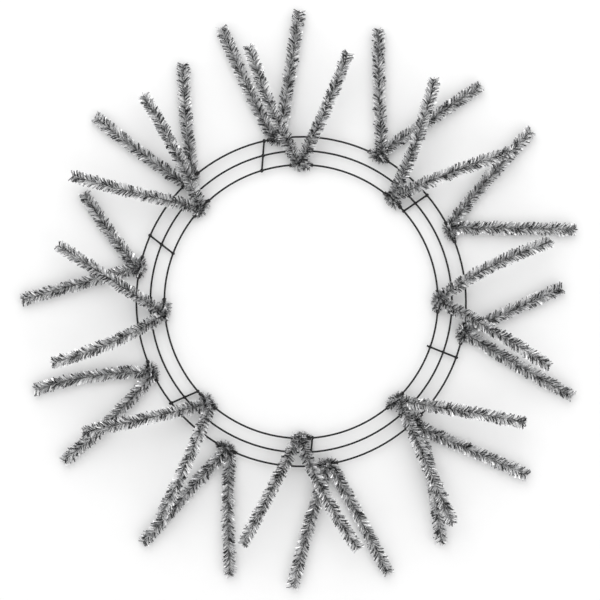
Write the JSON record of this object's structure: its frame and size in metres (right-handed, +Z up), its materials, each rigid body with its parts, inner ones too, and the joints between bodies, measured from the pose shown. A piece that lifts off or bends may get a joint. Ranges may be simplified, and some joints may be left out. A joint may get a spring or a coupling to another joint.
{
  "type": "wreath frame",
  "caption": "Flat work wreath frame: concentric dark wire rings welded to short crossbars, with silver tinsel twist ties wound on the rings and fanning outwards.",
  "frame": {"origin": "on the floor under the centre of the three rings", "axes": "+Z up from the floor through the rings; +Y towards the top of the wreath as it is seen from above; +X to the right"},
  "size_m": [0.6375, 0.6636, 0.0479],
  "materials": {
    "frame_wire": "satin",
    "tie_wire": "satin",
    "tinsel": "gloss"
  },
  "bodies": {
    "frame": {"ring_inner": "frame_wire", "ring_middle": "frame_wire", "ring_outer": "frame_wire", "crossbar_1": "frame_wire", "crossbar_2": "frame_wire", "crossbar_3": "frame_wire", "crossbar_4": "frame_wire", "crossbar_5": "frame_wire", "crossbar_6": "frame_wire"},
    "tie_inner_1": {"tie_inner_1_core": "tie_wire", "tie_inner_1_tinsel": "tinsel"},
    "tie_inner_2": {"tie_inner_2_core": "tie_wire", "tie_inner_2_tinsel": "tinsel"},
    "tie_inner_3": {"tie_inner_3_core": "tie_wire", "tie_inner_3_tinsel": "tinsel"},
    "tie_inner_4": {"tie_inner_4_core": "tie_wire", "tie_inner_4_tinsel": "tinsel"},
    "tie_inner_5": {"tie_inner_5_core": "tie_wire", "tie_inner_5_tinsel": "tinsel"},
    "tie_inner_6": {"tie_inner_6_core": "tie_wire", "tie_inner_6_tinsel": "tinsel"},
    "tie_inner_7": {"tie_inner_7_core": "tie_wire", "tie_inner_7_tinsel": "tinsel"},
    "tie_inner_8": {"tie_inner_8_core": "tie_wire", "tie_inner_8_tinsel": "tinsel"},
    "tie_outer_1": {"tie_outer_1_core": "tie_wire", "tie_outer_1_tinsel": "tinsel"},
    "tie_outer_2": {"tie_outer_2_core": "tie_wire", "tie_outer_2_tinsel": "tinsel"},
    "tie_outer_3": {"tie_outer_3_core": "tie_wire", "tie_outer_3_tinsel": "tinsel"},
    "tie_outer_4": {"tie_outer_4_core": "tie_wire", "tie_outer_4_tinsel": "tinsel"},
    "tie_outer_5": {"tie_outer_5_core": "tie_wire", "tie_outer_5_tinsel": "tinsel"},
    "tie_outer_6": {"tie_outer_6_core": "tie_wire", "tie_outer_6_tinsel": "tinsel"},
    "tie_outer_7": {"tie_outer_7_core": "tie_wire", "tie_outer_7_tinsel": "tinsel"},
    "tie_outer_8": {"tie_outer_8_core": "tie_wire", "tie_outer_8_tinsel": "tinsel"},
    "tie_outer_9": {"tie_outer_9_core": "tie_wire", "tie_outer_9_tinsel": "tinsel"},
    "tie_outer_10": {"tie_outer_10_core": "tie_wire", "tie_outer_10_tinsel": "tinsel"}
  },
  "joints": [
    {"name": "tie_inner_1_lift", "type": "hinge", "parent": "frame", "child": "tie_inner_1", "pos_m": [0, 0.1573, 0.0072], "axis": [1, 0, 0], "range_deg": [0, 50]},
    {"name": "tie_inner_2_lift", "type": "hinge", "parent": "frame", "child": "tie_inner_2", "pos_m": [0.10525, 0.1169, 0.0072], "axis": [0.7431, -0.6691, 0], "range_deg": [0, 50]},
    {"name": "tie_inner_3_lift", "type": "hinge", "parent": "frame", "child": "tie_inner_3", "pos_m": [0.1573, 0, 0.0072], "axis": [0, -1, 0], "range_deg": [0, 50]},
    {"name": "tie_inner_4_lift", "type": "hinge", "parent": "frame", "child": "tie_inner_4", "pos_m": [0.10828, -0.1141, 0.0072], "axis": [-0.7254, -0.6884, 0], "range_deg": [0, 50]},
    {"name": "tie_inner_5_lift", "type": "hinge", "parent": "frame", "child": "tie_inner_5", "pos_m": [0, -0.1573, 0.0072], "axis": [-1, 0, 0], "range_deg": [0, 50]},
    {"name": "tie_inner_6_lift", "type": "hinge", "parent": "frame", "child": "tie_inner_6", "pos_m": [-0.10728, -0.11504, 0.0072], "axis": [-0.7314, 0.682, 0], "range_deg": [0, 50]},
    {"name": "tie_inner_7_lift", "type": "hinge", "parent": "frame", "child": "tie_inner_7", "pos_m": [-0.15701, -0.0096, 0.0072], "axis": [-0.061, 0.9981, 0], "range_deg": [0, 50]},
    {"name": "tie_inner_8_lift", "type": "hinge", "parent": "frame", "child": "tie_inner_8", "pos_m": [-0.11504, 0.10728, 0.0072], "axis": [0.682, 0.7314, 0], "range_deg": [0, 50]},
    {"name": "tie_outer_1_lift", "type": "hinge", "parent": "frame", "child": "tie_outer_1", "pos_m": [-0.02637, 0.18766, 0.0072], "axis": [0.9903, 0.1392, 0], "range_deg": [0, 50]},
    {"name": "tie_outer_2_lift", "type": "hinge", "parent": "frame", "child": "tie_outer_2", "pos_m": [0.08897, 0.16732, 0.0072], "axis": [0.8829, -0.4695, 0], "range_deg": [0, 50]},
    {"name": "tie_outer_3_lift", "type": "hinge", "parent": "frame", "child": "tie_outer_3", "pos_m": [0.17175, 0.08009, 0.0072], "axis": [0.4226, -0.9063, 0], "range_deg": [0, 50]},
    {"name": "tie_outer_4_lift", "type": "hinge", "parent": "frame", "child": "tie_outer_4", "pos_m": [0.18602, -0.03616, 0.0072], "axis": [-0.1908, -0.9816, 0], "range_deg": [0, 50]},
    {"name": "tie_outer_5_lift", "type": "hinge", "parent": "frame", "child": "tie_outer_5", "pos_m": [0.12972, -0.13814, 0.0072], "axis": [-0.729, -0.6845, 0], "range_deg": [0, 50]},
    {"name": "tie_outer_6_lift", "type": "hinge", "parent": "frame", "child": "tie_outer_6", "pos_m": [0.02964, -0.18717, 0.0072], "axis": [-0.9877, -0.1564, 0], "range_deg": [0, 50]},
    {"name": "tie_outer_7_lift", "type": "hinge", "parent": "frame", "child": "tie_outer_7", "pos_m": [-0.08603, -0.16885, 0.0072], "axis": [-0.891, 0.454, 0], "range_deg": [0, 50]},
    {"name": "tie_outer_8_lift", "type": "hinge", "parent": "frame", "child": "tie_outer_8", "pos_m": [-0.17175, -0.08009, 0.0072], "axis": [-0.4226, 0.9063, 0], "range_deg": [0, 50]},
    {"name": "tie_outer_9_lift", "type": "hinge", "parent": "frame", "child": "tie_outer_9", "pos_m": [-0.18536, 0.0394, 0.0072], "axis": [0.2079, 0.9781, 0], "range_deg": [0, 50]},
    {"name": "tie_outer_10_lift", "type": "hinge", "parent": "frame", "child": "tie_outer_10", "pos_m": [-0.12778, 0.13994, 0.0072], "axis": [0.7385, 0.6743, 0], "range_deg": [0, 50]}
  ],
  "couplings": [
    {"joint": "tie_outer_1_lift", "follows": "tie_inner_1_lift", "ratio": 1},
    {"joint": "tie_outer_2_lift", "follows": "tie_inner_2_lift", "ratio": 1},
    {"joint": "tie_outer_3_lift", "follows": "tie_inner_2_lift", "ratio": 1},
    {"joint": "tie_outer_4_lift", "follows": "tie_inner_3_lift", "ratio": 1},
    {"joint": "tie_outer_5_lift", "follows": "tie_inner_4_lift", "ratio": 1},
    {"joint": "tie_outer_6_lift", "follows": "tie_inner_5_lift", "ratio": 1},
    {"joint": "tie_outer_7_lift", "follows": "tie_inner_6_lift", "ratio": 1},
    {"joint": "tie_outer_8_lift", "follows": "tie_inner_6_lift", "ratio": 1},
    {"joint": "tie_outer_9_lift", "follows": "tie_inner_7_lift", "ratio": 1},
    {"joint": "tie_outer_10_lift", "follows": "tie_inner_8_lift", "ratio": 1}
  ]
}
